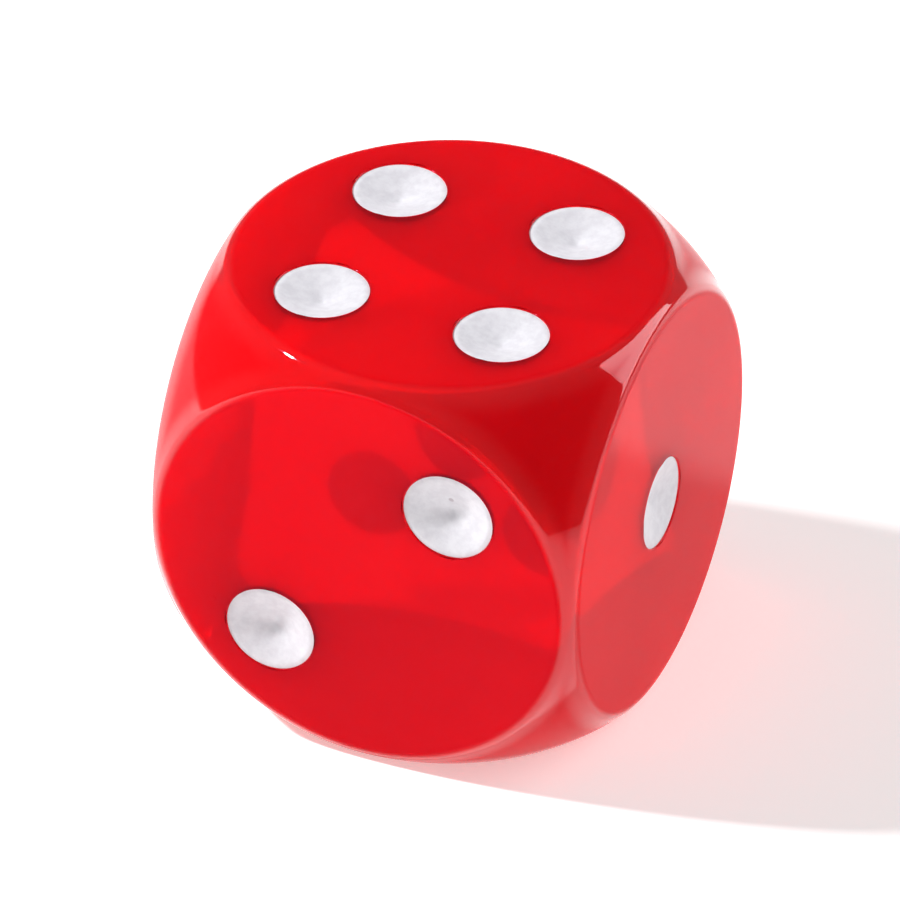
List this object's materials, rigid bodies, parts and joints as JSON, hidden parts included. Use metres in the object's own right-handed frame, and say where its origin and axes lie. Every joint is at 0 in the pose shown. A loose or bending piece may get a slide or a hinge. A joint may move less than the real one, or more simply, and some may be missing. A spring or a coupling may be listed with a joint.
{
  "type": "casino die",
  "caption": "Round-cornered translucent red gaming die with drilled and painted white pips, opposite faces adding up to seven.",
  "frame": {"origin": "centre of the cube, midway between each pair of opposite flat faces", "axes": "+Z out of the four, -Z out of the three, +X out of the one, -X out of the six, -Y out of the two, +Y out of the five"},
  "size_m": [0.016, 0.016, 0.016],
  "materials": {
    "block": "polished translucent",
    "pip_paint": "matte enamel"
  },
  "bodies": {
    "root": {"body": "block", "pip_five_centre": "pip_paint", "pip_five_lower_left": "pip_paint", "pip_five_lower_right": "pip_paint", "pip_five_upper_left": "pip_paint", "pip_five_upper_right": "pip_paint", "pip_four_back_left": "pip_paint", "pip_four_back_right": "pip_paint", "pip_four_front_left": "pip_paint", "pip_four_front_right": "pip_paint", "pip_one_centre": "pip_paint", "pip_six_lower_back": "pip_paint", "pip_six_lower_front": "pip_paint", "pip_six_lower_middle": "pip_paint", "pip_six_upper_back": "pip_paint", "pip_six_upper_front": "pip_paint", "pip_six_upper_middle": "pip_paint", "pip_three_back_right": "pip_paint", "pip_three_centre": "pip_paint", "pip_three_front_left": "pip_paint", "pip_two_lower_left": "pip_paint", "pip_two_upper_right": "pip_paint"}
  },
  "joints": []
}
